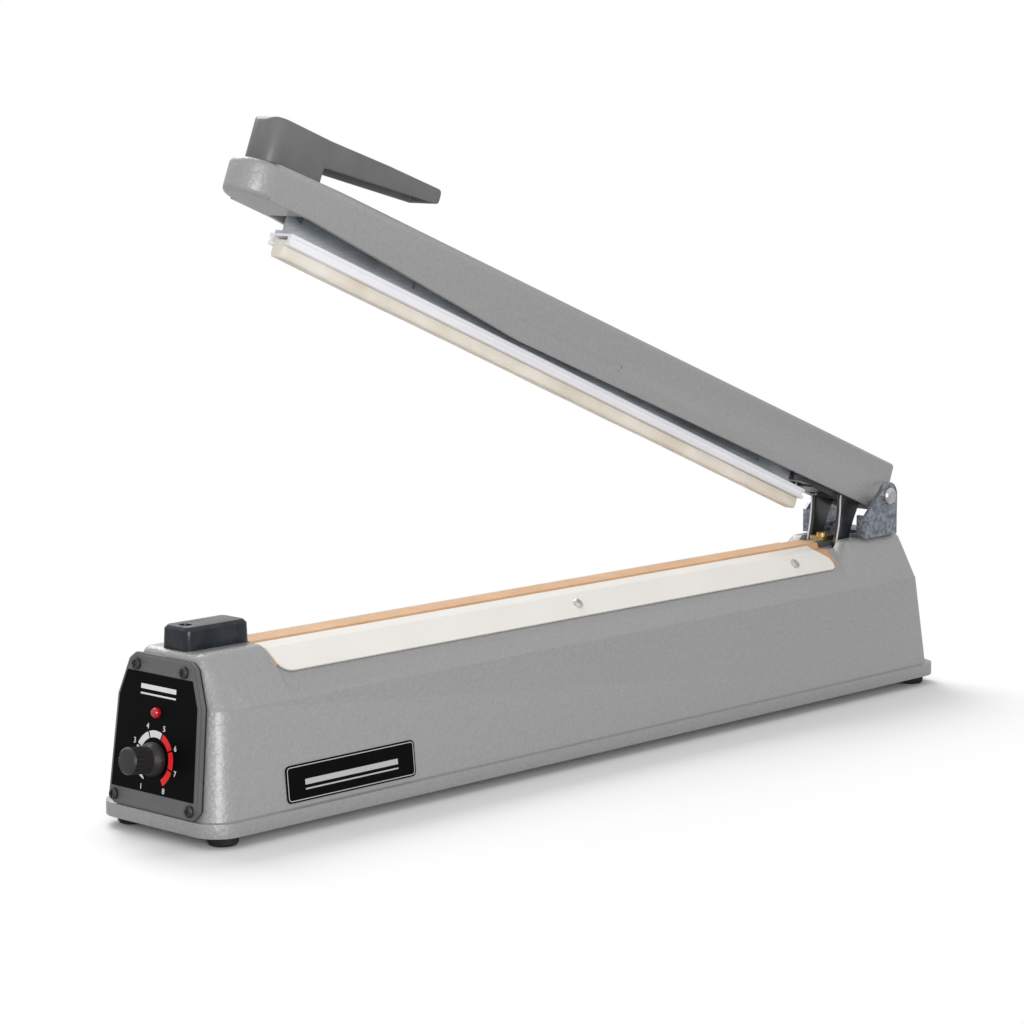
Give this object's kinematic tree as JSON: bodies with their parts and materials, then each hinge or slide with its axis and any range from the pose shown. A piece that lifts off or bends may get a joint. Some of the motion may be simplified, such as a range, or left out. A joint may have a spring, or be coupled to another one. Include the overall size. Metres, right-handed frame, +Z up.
{
  "type": "impulse_sealer",
  "caption": "Hand-operated benchtop impulse sealer: hollow cast base with a heated sealing ridge and timer dial, and a sprung cast arm that presses a silicone strip on the bag",
  "frame": {"origin": "on the floor under the middle of the machine's length and width, arm open", "axes": "+X from the control panel to the hinge, +Y away from the near side, +Z up"},
  "size_m": [0.5573, 0.0842, 0.3203],
  "materials": {
    "hammered_paint": "grey hammered paint on a casting",
    "zinc_sheet": "zinc plated sheet steel",
    "screw_steel": "bright plated steel",
    "black_rubber": "black rubber",
    "bezel_grey": "dark grey satin plastic",
    "label_black": "printed black label film",
    "lamp_red": "clear red lens",
    "black_plastic": "black moulded plastic",
    "cover_plastic": "blue black glossy plastic",
    "laminate": "brown phenolic laminate",
    "brass": "turned brass",
    "bed_aluminium": "extruded aluminium",
    "glass_cloth": "woven glass cloth",
    "ribbon_alloy": "flat nickel chrome ribbon",
    "ptfe_tape": "tan non-stick coated glass cloth",
    "plate_white": "off white enamel on sheet metal",
    "core_iron": "varnished iron laminations",
    "coil_tape": "yellow insulating tape",
    "board_green": "green lacquered board",
    "nylon": "natural nylon",
    "relay_blue": "blue moulded case",
    "capacitor_sleeve": "dark shrink sleeve",
    "plunger_red": "red moulded plastic",
    "spring_steel": "drawn spring wire",
    "pin_nickel": "nickel plated steel",
    "handle_grey": "dark grey satin plastic",
    "fork_black": "black painted casting",
    "bar_zinc": "zinc plated sheet steel",
    "holder_aluminium": "white coated aluminium extrusion",
    "silicone": "cream silicone rubber"
  },
  "bodies": {
    "base": {"base_casting": "hammered_paint", "bottom_plate": "zinc_sheet", "bottom_plate_screws": "screw_steel", "rubber_feet": "black_rubber", "feet_screws": "screw_steel", "panel_gasket": "black_rubber", "front_bezel": "bezel_grey", "panel_label": "label_black", "panel_screws": "screw_steel", "indicator_lamp": "lamp_red", "lamp_body": "black_plastic", "timer_potentiometer": "zinc_sheet", "potentiometer_nut": "screw_steel", "terminal_cover": "cover_plastic", "terminal_cover_screw": "screw_steel", "terminal_pads": "laminate", "front_terminal": "brass", "rear_terminal": "brass", "side_badge": "label_black", "sealing_bed": "bed_aluminium", "glass_cloth": "glass_cloth", "heating_ribbon": "ribbon_alloy", "ptfe_cover": "ptfe_tape", "clamp_plate_near": "plate_white", "clamp_plate_far": "plate_white", "clamp_plate_screws": "screw_steel", "transformer_core": "core_iron", "transformer_coil": "coil_tape", "transformer_frame": "zinc_sheet", "transformer_screws": "screw_steel", "timer_board": "board_green", "board_pillars": "nylon", "board_screws": "screw_steel", "timer_relay": "relay_blue", "timer_capacitor": "capacitor_sleeve", "micro_switch": "black_plastic", "switch_bracket": "zinc_sheet", "switch_screws": "screw_steel", "return_spring": "spring_steel", "spring_post": "screw_steel", "mains_grommet": "black_rubber", "hinge_bracket": "zinc_sheet", "hinge_bracket_screws": "screw_steel", "hinge_pin": "pin_nickel", "hinge_pin_clip": "spring_steel"},
    "arm": {"arm_casting": "hammered_paint", "handle": "handle_grey", "handle_screws": "screw_steel", "lever_fork": "fork_black", "fork_screws": "screw_steel", "fork_cross_pin": "screw_steel", "bar_pivot_pin": "pin_nickel"},
    "press_bar": {"press_bar": "bar_zinc", "rubber_holder": "holder_aluminium", "silicone_strip": "silicone", "holder_screws": "screw_steel"},
    "timer_knob": {"timer_knob": "black_plastic", "potentiometer_shaft": "screw_steel"},
    "switch_plunger": {"switch_plunger": "plunger_red"}
  },
  "joints": [
    {"name": "arm_hinge", "type": "hinge", "parent": "base", "child": "arm", "pos_m": [0.25413, 0, 0.106], "axis": [0, -1, 0], "range_deg": [0, 21.2], "stiffness_Nm_per_rad": 4, "springref_deg": -74.48, "deforming": ["return_spring"]},
    {"name": "press_bar_rock", "type": "hinge", "parent": "arm", "child": "press_bar", "pos_m": [0.03647, 0, 0.19193], "axis": [0, -1, 0], "range_deg": [0, 0.9]},
    {"name": "timer_knob_turn", "type": "hinge", "parent": "base", "child": "timer_knob", "pos_m": [-0.26215, 0, 0.03587], "axis": [0.9942, 0, -0.108], "range_deg": [-75, 225]},
    {"name": "switch_press", "type": "slide", "parent": "base", "child": "switch_plunger", "axis": [1, 0, 0], "range_m": [0, 0.0009], "stiffness_N_per_m": 200, "springref_m": -0.004}
  ],
  "couplings": [
    {"joint": "press_bar_rock", "follows": "arm_hinge", "ratio": 0.042453}
  ]
}
